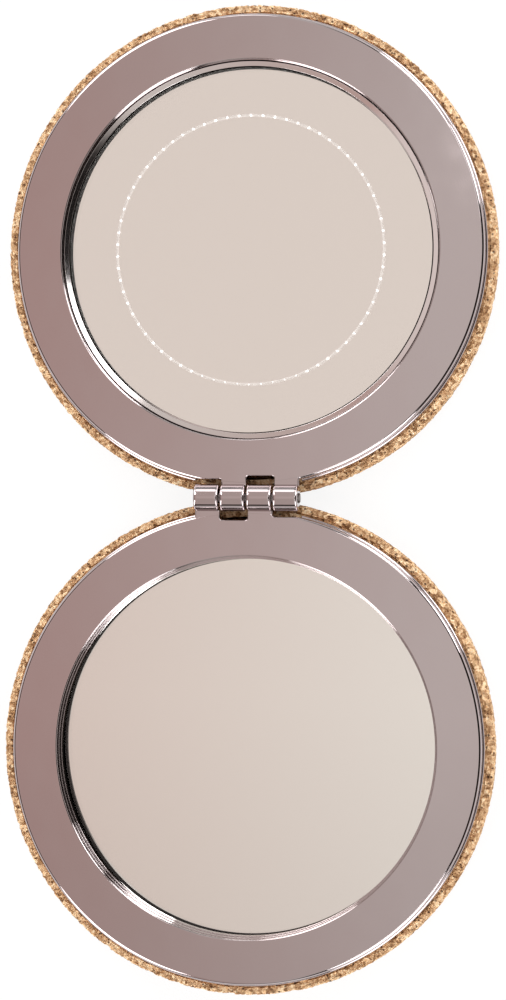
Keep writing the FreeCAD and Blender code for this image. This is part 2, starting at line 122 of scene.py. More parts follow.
# Name, place, width, height and watts of each lamp; each faces the hinge.
LAMPS = (
    ("window_far_right", (0.303, 0.514, 0.42), 0.22, 0.75, 1.85),
    ("window_near_right", (0.277, -0.532, 0.42), 0.38, 0.75, 2.7),
    ("window_near_left", (-0.37, -0.47, 0.42), 0.30, 0.75, 2.35),
    ("window_far_left", (-0.34, 0.49, 0.42), 0.32, 0.75, 2.35),
    ("strip_far", (-0.1, 0.627, 0.296), 0.14, 0.3, 0.15),
    ("window_right", (0.53, 0.344, 0.3), 0.24, 0.55, 1.5),
    ("panel_far", (0.249, 1.035, 4.0), 0.58, 1.07, 5.8),
    ("panel_near", (0.12, -1.06, 4.0), 0.56, 0.76, 4.0),
)
# Half the width of the floor in metres, and the share of its white that is there without light.
FLOOR_REACH = 20
PAPER_GLOW = 0.9
# Where the photograph was taken from, in millimetres and degrees, and its lens and frame in pixels.
CAMERA_PLACE = (66, -10, 450)
CAMERA_TURN = (1.31, 8.36, 0.46)
FOCAL_PIXELS = 3182
PHOTO_SIZE = (506, 1000)
SENSOR_WIDTH = 36


# Sizes and colours in the panel
def linear(code):
    """Linear colour of an sRGB hex code, with the numbers of the sRGB standard."""
    shares = [int(code[place:place + 2], 16) / 255 for place in (0, 2, 4)]
    return [s / 12.92 if s <= 0.04045 else ((s + 0.055) / 1.055) ** 2.4 for s in shares]


def length(name, millimetres, description):
    """A size in the panel, given in millimetres and kept in metres."""
    return FloatProperty(
        name=name, description=description, default=millimetres * MM, min=0, unit="LENGTH", precision=5
    )


def count(name, default, least, description):
    """A number of like things in the panel."""
    return IntProperty(name=name, description=description, default=default, min=least)


def tint(name, code, description):
    """A colour in the panel, given as an sRGB hex code."""
    return FloatVectorProperty(
        name=name, description=description, default=linear(code), min=0, max=1, subtype="COLOR"
    )


class MirrorSizes(bpy.types.PropertyGroup):
    """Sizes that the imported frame's boxes don't give."""

    window_radius: length("Window radius", 26.9, "Radius of the ring's window at its top")
    wall_draft: length("Wall draft", 0.35, "How far the window's wall leans in at its foot")
    lip_wall: length("Lip wall", 0.9, "Thickness of the ring's skirt wall")
    ring_thickness: length("Ring thickness", 1.4, "Thickness of the polished ring")
    ring_fall: length("Ring fall", 0.18, "How far the ring's top falls from its window to its outer edge")
    edge_round: length("Edge round", 0.45, "Round of the ring's outer edge")
    window_round: length("Window round", 0.2, "Round of the ring's inner edge")
    wall_ledge: length("Wall ledge", 0.12, "Width of one of the fine ledges in the window's wall")
    wall_ledges: count("Wall ledges", 2, 0, "Fine ledges in the base's window")
    foot_chamfer: length("Foot chamfer", 0.2, "Bevel below the ring's outer edge")
    rim_step: length("Rim step", 0.3, "How far the tray's rim stands out past the ring")
    rim_edge_round: length("Rim edge round", 0.28, "Round of the tray's rim")
    parting_gap: length("Parting gap", 0.2, "Open joint between ring and tray")
    tray_wall: length("Tray wall", 1.0, "Thickness of the tray's wall")
    tray_floor: length("Tray floor", 0.8, "Thickness of the tray's floor")
    groove_clearance: length("Groove clearance", 0.05, "Gap between the tray's tongue and the ring's groove")
    ring_overhang: length("Ring overhang", 0.9, "How far the ring stands out past the tray's wall")
    pocket_clearance: length("Pocket clearance", 0.1, "Gap between the tray and the cork")
    cork_floor: length("Cork floor", 1.5, "Thickness of the cork behind the tray")
    back_round: length("Back round", 2.0, "Round of the cork's back edge")
    rim_round: length("Rim round", 0.4, "Round of the cork's front edge")
    granule: length("Cork granule", 0.8, "Usual size of a cork granule")
    crumb: length("Cork crumb", 0.3, "Size of the fine crumbs in a granule")
    seam_depth: length("Seam depth", 0.15, "Depth of the seams between granules")
    crumb_depth: length("Crumb depth", 0.14, "Depth of the fine roughness")
    seat_groove: length("Seat groove", 0.2, "Width of the groove in the cork around the tray's rim")
    chip_depth: length("Chip depth", 0.55, "Depth of the pits where a granule broke out")
    closed_gap: length("Closed gap", 0.2, "Gap between the two rings when the mirror is shut")
    seat_rim: length("Seat rim", 0.45, "Width of the seat's neck around the bent glass")
    seat_spread: length("Seat spread", 0.25, "How far the seat's rim reaches out past its neck")
    seat_lip: length("Seat lip", 0.4, "Height of the seat's rim")
    seat_fall: length("Seat fall", 0.108, "How far the seat's rim falls towards the glass")
    seat_edge: length("Seat edge", 0.04, "Round of the seat's rim")
    seat_clearance: length("Seat clearance", 0.1, "Gap from the seat's neck to the foot of the ring's wall")
    mirror_curvature: length("Mirror curvature", 1000, "Radius of the bent glass's hollow face")
    glass_thickness: length("Glass thickness", 1.8, "Thickness of the bent glass with its coat")
    coat_thickness: length("Coat thickness", 0.03, "Silver and lacquer on the back of the glass")
    glass_arris: length("Glass arris", 0.2, "Ground bevel on the flat glass's edges")
    knuckle_width: length("Knuckle width", 3.5, "Length of one hinge knuckle")
    knuckle_gap: length("Knuckle gap", 0.25, "Gap between two knuckles")
    knuckle_round: length("Knuckle round", 0.3, "Round of a knuckle's ends")
    notch_clearance: length("Notch clearance", 1.2, "Gap between an inner knuckle and the notch it turns in")
    outer_clearance: length("Outer clearance", 0.75, "Gap between the outer knuckle and its shallower notch")
    notch_round: length("Notch round", 0.4, "Round of a notch's inner corners")
    notch_edge: length("Notch edge", 0.18, "Round along a notch's upper edge")
    relief_depth: length("Relief depth", 1.2, "How far the tray slopes below the cork's rim at the hinge")
    knurl_length: length("Knurl length", 2.6, "Length of the pin's knurled end")
    knurl_ridges: count("Knurl ridges", 18, 3, "Ridges around the pin's end")
    dot_ring_radius: length("Dot ring radius", 19.05, "Radius of the ring of dots on the lid's glass")
    dot_radius: length("Dot radius", 0.21, "Radius of one frosted dot")
    dot_height: length("Dot height", 0.02, "How far a frosted dot stands out of the glass")
    dot_line: length("Dot line", 0.4, "Width of the faint line that joins the dots")
    dot_count: count("Dots", 70, 3, "Dots in a full ring")
    faint_arc: FloatProperty(
        name="Faint arc", description="Angle of the ring, towards the hinge, in which the dots are smaller",
        default=math.radians(44), min=0, subtype="ANGLE",
    )
    faint_share: FloatProperty(
        name="Faint share", description="Size of the smaller dots",
        default=0.55, min=0, max=1, subtype="FACTOR",
    )
    show_dots: BoolProperty(name="Show dots", description="Draw the ring of frosted dots", default=True)


class MirrorColours(bpy.types.PropertyGroup):
    """Colours of the finishes."""

    cork_light: tint("Cork light", "EBCBA2", "Palest cork granules")
    cork_middle: tint("Cork middle", "C8A27A", "Usual cork granules")
    cork_brown: tint("Cork brown", "9A734D", "Brown granules")
    cork_pit_shade: tint("Cork bark", "472C1B", "Dark bark grains")
    chrome: tint("Chrome", "BFB4B5", "Reflection of the plated rings")
    silver: tint("Silver", "F9F7F4", "Reflection of the silvered glass")
    bright_coat: tint("Bright coat", "D9D2D1", "Reflection of the metallised seat")
    glass: tint("Glass", "FAFCFA", "Body colour of the glass")
    # Painted shade: a dark colour that stands for the shade in the cork's small pits.
    edge: tint("Edge", "1E201E", "Ground edge of the glass")
    frost: tint("Frost", "F8F7F5", "Frosted dots")
    steel: tint("Steel", "7D7774", "Hinge pin")
    foam: tint("Foam", "DCDBD6", "Foam tape")
    glue: tint("Glue", "D8C79A", "Dried contact glue")
    nickel: tint("Nickel", "CFCBC4", "Plated magnets")
    paper: tint("Paper", "FFFFFF", "Floor of the studio")


def measures():
    """Heights and radii of the pieces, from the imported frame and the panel's sizes."""
    sizes = bpy.context.scene.mirror_sizes
    cork_low, cork_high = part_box("base_cork_cap")
    tray_low, tray_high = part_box("base_tray")
    glass_low, glass_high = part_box("base_mirror")
    seat_low, seat_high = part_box("lid_mirror_seat")
    tape_low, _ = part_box("lid_mirror_tape")
    _, lid_glass_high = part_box("lid_mirror")
    _, ring_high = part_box("base_frame")
    pin_low, pin_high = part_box("hinge_pin")
    m = SimpleNamespace()
    m.axis_height = frame["joints"][0]["pos_m"][2]
    m.spacing = -(cork_low.y + cork_high.y) / 2
    m.cork_radius = (cork_high.x - cork_low.x) / 2
    m.cork_rim = cork_high.z
    m.glass_foot = glass_low.z + sizes.coat_thickness
    m.glass_top = glass_high.z
    m.glass_radius = glass_high.x
    m.ring_top = m.axis_height - sizes.closed_gap / 2
    m.edge_top = m.ring_top - sizes.ring_fall
    m.flange_foot = m.ring_top - sizes.ring_thickness
    m.rim_top = m.flange_foot - sizes.parting_gap
    m.rim_radius = tray_high.x
    m.tray_foot = tray_low.z
    m.tray_top = tray_low.z + sizes.tray_floor
    m.groove_roof = tray_high.z
    m.ring_radius = m.rim_radius - sizes.rim_step
    m.tray_outer = m.ring_radius - sizes.ring_overhang
    m.tray_inner = m.tray_outer - sizes.tray_wall
    m.window_foot = sizes.window_radius - sizes.wall_draft
    m.lip_outer = sizes.window_radius + sizes.lip_wall
    m.pocket_radius = m.tray_outer + sizes.pocket_clearance
    m.seat_foot = seat_low.z
    m.seat_radius = seat_high.x
    m.seat_top = seat_high.z
    m.seat_neck = m.window_foot - sizes.seat_clearance
    m.seat_bore = m.seat_neck - sizes.seat_rim
    m.tape_foot = tape_low.z
    m.lid_glass_radius = lid_glass_high.x
    m.lid_glass_edge = lid_glass_high.z
    m.sphere_centre = m.lid_glass_edge + math.sqrt(sizes.mirror_curvature ** 2 - m.lid_glass_radius ** 2)
    m.barrel_radius = ring_high.z - m.axis_height
    m.pitch = sizes.knuckle_width + sizes.knuckle_gap
    m.barrel_length = KNUCKLE_COUNT * m.pitch - sizes.knuckle_gap
    m.notch_floor = m.spacing - m.barrel_radius - sizes.notch_clearance
    m.outer_notch_floor = m.spacing - m.barrel_radius - sizes.outer_clearance
    m.pin_left = pin_low.x
    m.pin_right = pin_high.x
    m.pin_crest = pin_high.z - m.axis_height
    return m


# Shapes
def half_matrix(half, m):
    """Where a half lies, from its own axes, in which the hinge is towards +Y."""
    turn = Matrix.Rotation(math.pi if half == "lid" else 0, 4, "Z")
    return Matrix.Translation((0, SIDES[half] * m.spacing, 0)) @ turn


def soften(corners):
    """Points of a closed outline whose corners, each (across, up, round), are rounded by arcs."""
    points = []
    for index, (across, up, size) in enumerate(corners):
        here = Vector((across, up))
        if size == 0:
            points.append(here)
            continue
        before = (Vector(corners[index - 1][:2]) - here).normalized()
        after = (Vector(corners[(index + 1) % len(corners)][:2]) - here).normalized()
        half_angle = before.angle(after) / 2
        reach = size / math.tan(half_angle)
        centre = here + (before + after).normalized() * size / math.sin(half_angle)
        start = (here + before * reach - centre).normalized()
        end = (here + after * reach - centre).normalized()
        points += [centre + size * start.slerp(end, step / ARC_STEPS) for step in range(ARC_STEPS + 1)]
    return points


def refined(points, spacing):
    """Open outline with points no farther apart than the spacing."""
    made = []
    for here, there in zip(points, points[1:]):
        pieces = max(1, math.ceil((there - here).length / spacing))
        made += [here.lerp(there, step / pieces) for step in range(pieces)]
    return made + [points[-1]]


def turned(outline, steps):
    """Solid made by turning a section round the Z axis.

    The section's points are (radius, height), with the solid on their left.
    """
    points = []
    rings = []
    for radius, height in outline:
        places = steps if radius > SAME_PLACE else 1
        rings.append([len(points) + step % places for step in range(steps + 1)])
        for step in range(places):
            angle = FULL_TURN * step / steps
            points.append((radius * math.cos(angle), radius * math.sin(angle), height))
    faces = []
    for low, high in zip(rings, rings[1:] + rings[:1]):
        for step in range(steps):
            corners = (low[step], low[step + 1], high[step + 1], high[step])
            face = list(dict.fromkeys(corners))
            if len(face) > 2:
                faces.append(face)
    return points, faces


def stacked(loops):
    """Solid between closed loops of as many points, one above the other, with flat ends."""
    size = len(loops[0])
    points = [point for loop in loops for point in loop]
    faces = [list(range(size))[::-1], list(range(len(points) - size, len(points)))]
    for start in range(0, len(points) - size, size):
        for index in range(size):
            following = (index + 1) % size
            faces.append((start + index, start + following, start + size + following, start + size + index))
    return points, faces


def shown(name, shape, matrix=Matrix.Identity(4)):
    """Object of a finished shape, its points and faces, put in place in the frame."""
    mesh = bpy.data.meshes.new(name)
    mesh.from_pydata(shape[0], [], shape[1])
    mesh.transform(matrix)
    piece = bpy.data.objects.new(name, mesh)
    bpy.context.scene.collection.objects.link(piece)
    return piece


def carve(piece, operation, *tools):
    """Joins tool shapes to a piece or cuts them away, keeps the result as its mesh and removes the tools."""
    for tool in tools:
        change = piece.modifiers.new(operation, "BOOLEAN")
        change.operation = operation
        change.solver = "EXACT"
        change.object = tool
    made = bpy.data.meshes.new_from_object(piece.evaluated_get(bpy.context.evaluated_depsgraph_get()))
    piece.modifiers.clear()
    piece.data = made
    for tool in tools:
        bpy.data.objects.remove(tool)


def dress(piece, body, nodes, slot, *materials):
    """Gives a piece its finish and smooth shading, and ties it to the frame."""
    if not piece.data.polygons:
        raise RuntimeError(f"{piece.name} came out empty")
    for material in materials:
        piece.data.materials.append(material)
    piece.data.polygons.foreach_set("use_smooth", [True] * len(piece.data.polygons))
    piece.data.set_sharp_from_angle(angle=SMOOTH_LIMIT)
    flat_sides = piece.modifiers.new("flat_sides_stay_flat", "WEIGHTED_NORMAL")
    flat_sides.keep_sharp = True
    flat_sides.weight = FACE_WEIGHT
    flat_sides.thresh = SAME_AREA
    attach(piece, body)
    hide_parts(*nodes)


# Finishes
def add(tree, kind, inputs=None, stops=(), **settings):
    """Adds a node, with its settings, the stops of its ramp, and its inputs as values or links."""
    made = tree.nodes.new(kind)
    for name, value in settings.items():
        setattr(made, name, value)
    for place, (position, colour) in enumerate(stops):
        stop = made.color_ramp.elements[place] if place < 2 else made.color_ramp.elements.new(position)
        stop.position = position
        stop.color = colour
    for name, value in (inputs or {}).items():
        if isinstance(value, bpy.types.NodeSocket):
            tree.links.new(value, made.inputs[name])
        else:
            made.inputs[name].default_value = value
    return made


def new_material(name, **sockets):
    """Material with its node tree and its one shader, whose sockets are set by name."""
    material = bpy.data.materials.get(name)
    if material:
        return material, None, None
    material = bpy.data.materials.new(name)
    material.use_nodes = True
    tree = material.node_tree
    shader = tree.nodes["Principled BSDF"]
    for socket, value in sockets.items():
        shader.inputs[socket.replace("_", " ")].default_value = value
    return material, tree, shader


def agglomerated_cork():
    """Sanded agglomerated cork."""
    # Glued granules under a millimetre wide in many tans, dark specks of painted shade in small pits among
    # them, and no gloss.
    material, tree, shader = new_material("agglomerated_cork_sanded", Roughness=0.88, IOR=1.45)
    if tree is None:
        return material
    colours = bpy.context.scene.mirror_colours
    sizes = bpy.context.scene.mirror_sizes
    light = (*colours.cork_light, 1)
    middle = (*colours.cork_middle, 1)
    brown = (*colours.cork_brown, 1)
    granule = 0.6 * sizes.granule
    pit_shade_size = 1.4 * sizes.crumb
    place = add(tree, "ShaderNodeTexCoord").outputs["Object"]
    bend = add(tree, "ShaderNodeTexNoise", {"Vector": place, "Scale": 1 / sizes.granule, "Detail": 2})
    bent = add(
        tree, "ShaderNodeVectorMath",
        {0: bend.outputs["Color"], 1: (sizes.crumb,) * 3, 2: place}, operation="MULTIPLY_ADD",
    ).outputs[0]
    granules = add(tree, "ShaderNodeTexVoronoi", {"Vector": bent, "Scale": 1 / granule}, feature="F1")
    tone = add(tree, "ShaderNodeSeparateColor", {"Color": granules.outputs["Color"]})
    tans = add(
        tree, "ShaderNodeValToRGB", {"Fac": tone.outputs["Red"]},
        stops=[(0.0, brown), (1.0, light), (0.12, brown), (0.36, middle), (0.64, middle), (0.8, light)],
    )
    crumbs = add(
        tree, "ShaderNodeTexNoise",
        {"Vector": place, "Scale": 1 / sizes.crumb, "Detail": 3, "Roughness": 0.7},
    )
    grains = add(
        tree, "ShaderNodeMapRange", {"Value": crumbs.outputs["Fac"], "From Min": 0.34, "From Max": 0.66}
    )
    mottled = add(
        tree, "ShaderNodeMix",
        {"Factor": 0.85, 6: tans.outputs["Color"], 7: grains.outputs["Result"]},
        data_type="RGBA", blend_type="SOFT_LIGHT",
    )
    # Painted shade: a few cells get dark specks, and the bump below sinks the same spots as small pits.
    pit_shade = add(tree, "ShaderNodeTexVoronoi", {"Vector": bent, "Scale": 1 / pit_shade_size}, feature="F1")
    pit_shade_tone = add(tree, "ShaderNodeSeparateColor", {"Color": pit_shade.outputs["Color"]})
    few = add(
        tree, "ShaderNodeMapRange",
        {"Value": pit_shade_tone.outputs["Green"], "From Min": 0.76, "From Max": 0.88, "To Max": 0.9},
    )
    near = add(
        tree, "ShaderNodeMapRange",
        {"Value": pit_shade.outputs["Distance"], "From Min": 0.28, "From Max": 0.5, "To Min": 1, "To Max": 0},
    )
    dark = add(
        tree, "ShaderNodeMath", {0: few.outputs["Result"], 1: near.outputs["Result"]}, operation="MULTIPLY"
    )
    surface = add(
        tree, "ShaderNodeMix",
        {"Factor": dark.outputs[0], 6: mottled.outputs[2], 7: (*colours.cork_pit_shade, 1)}, data_type="RGBA",
    )
    tree.links.new(surface.outputs[2], shader.inputs["Base Color"])
    relief = add(
        tree, "ShaderNodeMath", {0: crumbs.outputs["Fac"], 1: dark.outputs[0]}, operation="SUBTRACT"
    )
    bump = add(
        tree, "ShaderNodeBump", {"Strength": 0.6, "Distance": sizes.crumb_depth, "Height": relief.outputs[0]}
    )
    tree.links.new(bump.outputs["Normal"], shader.inputs["Normal"])
    return material


def plated_metal(name, colour, roughness, wave):
    """Bright metal whose polish varies, with a faint waviness of the surface below."""
    material, tree, shader = new_material(name, Metallic=1, Base_Color=(*colour, 1))
    if tree is None:
        return material
    haze_size = 2.5 * MM
    sink_size = 7 * MM
    smoothest, dullest = (roughness * share for share in POLISH_SPREAD)
    place = add(tree, "ShaderNodeTexCoord").outputs["Object"]
    haze = add(tree, "ShaderNodeTexNoise", {"Vector": place, "Scale": 1 / haze_size, "Detail": 4})
    polish = add(
        tree, "ShaderNodeMapRange", {"Value": haze.outputs["Fac"], "To Min": smoothest, "To Max": dullest}
    )
    tree.links.new(polish.outputs["Result"], shader.inputs["Roughness"])
    sink = add(tree, "ShaderNodeTexNoise", {"Vector": place, "Scale": 1 / sink_size, "Detail": 1})
    bump = add(tree, "ShaderNodeBump", {"Strength": 1, "Distance": wave, "Height": sink.outputs["Fac"]})
    tree.links.new(bump.outputs["Normal"], shader.inputs["Normal"])
    return material


def chrome_plate():
    """Bright chrome plating on moulded ABS."""
    # A mirror of about half the light, with soft sink marks from the moulding below.
    colour = bpy.context.scene.mirror_colours.chrome
    return plated_metal("bright_chrome_on_moulded_abs", colour, roughness=0.05, wave=0.03 * MM)


def metallised_coat():
    """Vacuum-metallised ABS."""
    # A thin aluminium coat under lacquer: lighter than chrome, and as smooth as the moulding.
    colour = bpy.context.scene.mirror_colours.bright_coat
    return plated_metal("vacuum_metallised_abs", colour, roughness=0.06, wave=0.01 * MM)


def turned_steel():
    """Turned and knurled steel wire."""
    # Grey metal with a soft shine from the lathe.
    colour = bpy.context.scene.mirror_colours.steel
    return plated_metal("turned_steel_wire", colour, roughness=0.28, wave=0.005 * MM)


def nickel_plate():
    """Nickel plating on a sintered magnet."""
    # Warm, slightly hazy metal.
    colour = bpy.context.scene.mirror_colours.nickel
    return plated_metal("nickel_on_sintered_magnet", colour, roughness=0.2, wave=0.005 * MM)


def float_glass():
    """Polished float glass in front of the silver."""
    # Clear glass with a weak second reflection from its front.
    colour = (*bpy.context.scene.mirror_colours.glass, 1)
    material, *_ = new_material(
        "float_glass_polished", Roughness=0, IOR=1.52, Transmission_Weight=1, Base_Color=colour
    )
    return material


def silver_coat():
    """Silver coat on the back of the glass."""
    # Nearly all the light comes back, a little warm.
    colour = (*bpy.context.scene.mirror_colours.silver, 1)
    material, *_ = new_material("silver_coat_on_glass", Metallic=1, Roughness=0.01, Base_Color=colour)
    return material


def soft_layer(name, colour, roughness, grain, depth):
    """Dull layer with a grain of its own."""
    material, tree, shader = new_material(name, Roughness=roughness, Base_Color=(*colour, 1))
    if tree is None:
        return material
    place = add(tree, "ShaderNodeTexCoord").outputs["Object"]
    cells = add(tree, "ShaderNodeTexNoise", {"Vector": place, "Scale": 1 / grain, "Detail": 3})
    bump = add(tree, "ShaderNodeBump", {"Strength": 0.8, "Distance": depth, "Height": cells.outputs["Fac"]})
    tree.links.new(bump.outputs["Normal"], shader.inputs["Normal"])
    return material


def ground_edge():
    """Ground edge of the glass."""
    # Dull and dark, since little light comes to it past the silver.
    colour = bpy.context.scene.mirror_colours.edge
    return soft_layer("ground_glass_edge", colour, roughness=0.7, grain=0.1 * MM, depth=0.01 * MM)


def contact_glue():
    """Dried contact glue."""
    # Rubbery film, drawn out by the brush: amber with a dull shine.
    colour = bpy.context.scene.mirror_colours.glue
    return soft_layer("dried_contact_glue", colour, roughness=0.45, grain=1.2 * MM, depth=0.03 * MM)


def foam_tape():
    """Closed-cell foam, cut from a roll."""
    # Matt white with fine open cells on its edge.
    colour = bpy.context.scene.mirror_colours.foam
    return soft_layer("polyethylene_foam_tape", colour, roughness=0.9, grain=0.3 * MM, depth=0.05 * MM)


def etched_front(name, cover):
    """Etched mark on the front of the glass, which covers a share of it and is clear from behind."""
    colours = bpy.context.scene.mirror_colours
    material, tree, shader = new_material(name, Roughness=0.7, Base_Color=(*colours.frost, 1))
    if tree is None:
        return material
    facing = add(tree, "ShaderNodeNewGeometry").outputs["True Normal"]
    own = add(
        tree, "ShaderNodeVectorTransform", {"Vector": facing},
        vector_type="NORMAL", convert_from="WORLD", convert_to="OBJECT",
    )
    up = add(tree, "ShaderNodeSeparateXYZ", {"Vector": own.outputs["Vector"]}).outputs["Z"]
    front = add(tree, "ShaderNodeMapRange", {"Value": up, "To Max": cover})
    tree.links.new(front.outputs["Result"], shader.inputs["Alpha"])
    return material


def frosted_dot():
    """Etched dots on glass."""
    # Ground glass: white and dull.
    return etched_front("etched_glass_frost", cover=1)


def etched_haze():
    """Faint etched line between the dots."""
    # A thin white haze that lets most of the mirror through.
    return etched_front("etched_glass_haze", cover=0.12)


def white_paper():
    """Matt white paper under the object."""
    # Seen by the camera and in metal and glass as white, with a weak shadow; it passes light on as paper.
    colour = (*bpy.context.scene.mirror_colours.paper, 1)
    material, tree, shader = new_material("matt_white_paper", Roughness=0.9, Base_Color=colour)
    if tree is None:
        return material
    rays = add(tree, "ShaderNodeLightPath").outputs
    seen = rays["Is Camera Ray"]
    for kind in ("Is Glossy Ray", "Is Transmission Ray"):
        seen = add(tree, "ShaderNodeMath", {0: seen, 1: rays[kind]}, operation="MAXIMUM").outputs[0]
    share = add(tree, "ShaderNodeMath", {0: seen, 1: PAPER_GLOW}, operation="MULTIPLY")
    white = add(tree, "ShaderNodeEmission", {"Color": (1, 1, 1, 1), "Strength": 1})
    both = add(
        tree, "ShaderNodeMixShader", {0: share.outputs[0], 1: shader.outputs[0], 2: white.outputs[0]}
    )
    tree.links.new(both.outputs[0], tree.nodes["Material Output"].inputs["Surface"])
    return material


# Pieces
def pit(place, sizes):
    """How deep cork lies below its sanded face: seams between granules, crumbs, and lost granules."""
    (nearest, second, *_), (middle, *_) = noise.voronoi(place / sizes.granule)
    seam = max(0, 1 - (second - nearest) / SEAM_SHARE)
    chip = max(0, 1 - nearest) if noise.cell(middle) > CHIP_LIMIT else 0
    crumb = (1 + noise.noise(place / sizes.crumb)) / 2
    return seam * sizes.seam_depth + chip * sizes.chip_depth + crumb * sizes.crumb_depth


class MIRROR_OT_cork_caps(bpy.types.Operator):
    """Turned cork caps, rough from their granules"""

    bl_idname = "compact_mirror.cork_caps"
    bl_label = "Cork Caps"

    def execute(self, context):
        sizes = context.scene.mirror_sizes
        m = measures()
        groove_outer = m.rim_radius + sizes.seat_groove
        groove_depth = 2 * sizes.seat_groove
        groove_foot = m.cork_rim - groove_depth
        section = soften([
            (0, 0, 0), (m.cork_radius, 0, sizes.back_round), (m.cork_radius, m.cork_rim, sizes.rim_round),
            (groove_outer, m.cork_rim, 0),
        ])
        outside = refined(section[:2], CORK_BACK_SPACING)[:-1] + refined(section[1:], CORK_SPACING)
        outline = outside + [Vector(corner) for corner in (
            (groove_outer, groove_foot), (m.rim_radius, groove_foot), (m.rim_radius, m.cork_rim),
            (m.pocket_radius, m.cork_rim), (m.pocket_radius, sizes.cork_floor), (0, sizes.cork_floor),
        )]
        steps = math.ceil(FULL_TURN * m.cork_radius / CORK_SPACING)
        for half in SIDES:
            points, faces = turned(outline, steps)
            place = half_matrix(half, m)
            # The outline starts on the axis, where turning makes one point; each other makes a full loop.
            for index in range(1, len(outside)):
                along = outline[index + 1] - outline[index - 1]
                inwards = Vector((-along.y, along.x)).normalized()
                first = 1 + (index - 1) * steps
                for number in range(first, first + steps):
                    point = Vector(points[number])
                    round_axis = point.xy.normalized() * inwards.x
                    depth = pit(place @ point, sizes)
                    points[number] = point + depth * Vector((*round_axis, inwards.y))
            cap = shown(f"{half}_cork", (points, faces), place)
            dress(cap, half, [f"{half}_cork_cap"], "cork", agglomerated_cork())
        return {"FINISHED"}


def ring_outline(ledges, sizes, m):
    """Half section of a ring with its skirt wall, the ledges in it and the groove for the tray's tongue."""
    groove_inner = m.tray_inner - sizes.groove_clearance
    groove_outer = m.tray_outer + sizes.groove_clearance
    corners = [
        (m.window_foot, m.glass_top, 0), (m.lip_outer, m.glass_top, 0), (m.lip_outer, m.flange_foot, 0),
        (groove_inner, m.flange_foot, 0), (groove_inner, m.groove_roof, 0),
        (groove_outer, m.groove_roof, 0), (groove_outer, m.flange_foot, 0),
        (m.ring_radius - sizes.foot_chamfer, m.flange_foot, 0),
        (m.ring_radius, m.flange_foot + sizes.foot_chamfer, 0),
        (m.ring_radius, m.edge_top, sizes.edge_round), (sizes.window_radius, m.ring_top, sizes.window_round),
    ]
    lean = (sizes.wall_draft - ledges * sizes.wall_ledge) / (ledges + 1)
    drop = (m.ring_top - m.glass_top) / (ledges + 1)
    radius = sizes.window_radius
    for ledge in range(1, ledges + 1):
        height = m.ring_top - ledge * drop
        radius -= lean
        corners.append((radius, height, 0))
        radius -= sizes.wall_ledge
        corners.append((radius, height, sizes.wall_ledge / 2))
    return soften(corners)


def knuckle_start(index, m):
    """Where knuckle number index of a half begins along the pin."""
    return index * m.pitch - m.barrel_length / 2


def hinge_tongue(sizes, m):
    """Plate that carries the ring out to its knuckles."""
    left = knuckle_start(OWN_KNUCKLES[0], m)
    right = knuckle_start(OWN_KNUCKLES[1], m) + sizes.knuckle_width
    section = soften([
        (left, m.flange_foot, 0), (right, m.flange_foot, 0),
        (right, m.edge_top, sizes.notch_edge), (left, m.edge_top, sizes.notch_edge),
    ])
    root = m.notch_floor - sizes.edge_round
    return stacked([[(across, reach, up) for across, up in section] for reach in (root, m.spacing)])


def notch_tool(left, right, depth, sizes, m):
    """Room for a knuckle of the other half: rounded inner corners and a rounded upper edge."""
    overrun = m.barrel_radius
    far = m.spacing + overrun
    ring_width = m.ring_radius - sizes.window_radius
    top = m.ring_top - sizes.ring_fall * (depth - sizes.window_radius) / ring_width
    levels = [(m.flange_foot - overrun, 0)]
    for step in range(NOTCH_EDGE_STEPS):
        angle = math.pi / 2 * step / NOTCH_EDGE_STEPS
        height = top - sizes.notch_edge * (1 - math.sin(angle))
        levels.append((height, sizes.notch_edge * (1 - math.cos(angle))))
    levels.append((height + sizes.notch_edge, levels[-1][1] + sizes.notch_edge * math.tan(angle)))
    loops = []
    for height, spread in levels:
        corner = sizes.notch_round + spread
        floor = depth - spread
        loop = soften([
            (left - spread, floor, corner), (right + spread, floor, corner),
            (right + spread, far, 0), (left - spread, far, 0),
        ])
        loops.append([(across, reach, height) for across, reach in loop])
    return stacked(loops)


def barrel(index, sizes, m):
    """One knuckle with rounded ends and its bore."""
    bore = m.pin_crest
    left = knuckle_start(index, m)
    right = left + sizes.knuckle_width
    outline = soften([
        (bore, left, 0), (m.barrel_radius, left, sizes.knuckle_round),
        (m.barrel_radius, right, sizes.knuckle_round), (bore, right, 0),
    ])
    return turned(refined(outline, BARREL_SPACING), BARREL_SIDES)


class MIRROR_OT_rings(bpy.types.Operator):
    """Plated rings with their notches, tongues and hinge knuckles"""

    bl_idname = "compact_mirror.rings"
    bl_label = "Rings"

    def execute(self, context):
        sizes = context.scene.mirror_sizes
        m = measures()
        at_pin = Matrix.Translation((0, m.spacing, m.axis_height)) @ ALONG_X
        for half in SIDES:
            # The lid's seat hides all but the plain upper part of its wall.
            ledges = sizes.wall_ledges if half == "base" else 0
            ring = shown(f"{half}_ring", turned(ring_outline(ledges, sizes, m), RING_SIDES))
            carve(ring, "UNION", shown("tongue", hinge_tongue(sizes, m)))
            notches = []
            for index, depth in zip(OPPOSITE_KNUCKLES, (m.notch_floor, m.outer_notch_floor)):
                left = knuckle_start(index, m) - sizes.knuckle_gap
                right = left + m.pitch + sizes.knuckle_gap
                notches.append(shown("notch", notch_tool(left, right, depth, sizes, m)))
            carve(ring, "DIFFERENCE", *notches)
            knuckles = [shown("knuckle", barrel(index, sizes, m), at_pin) for index in OWN_KNUCKLES]
            carve(ring, "UNION", *knuckles)
            ring.data.transform(half_matrix(half, m))
            dress(ring, half, [f"{half}_frame"], "plated_abs", chrome_plate())
        return {"FINISHED"}


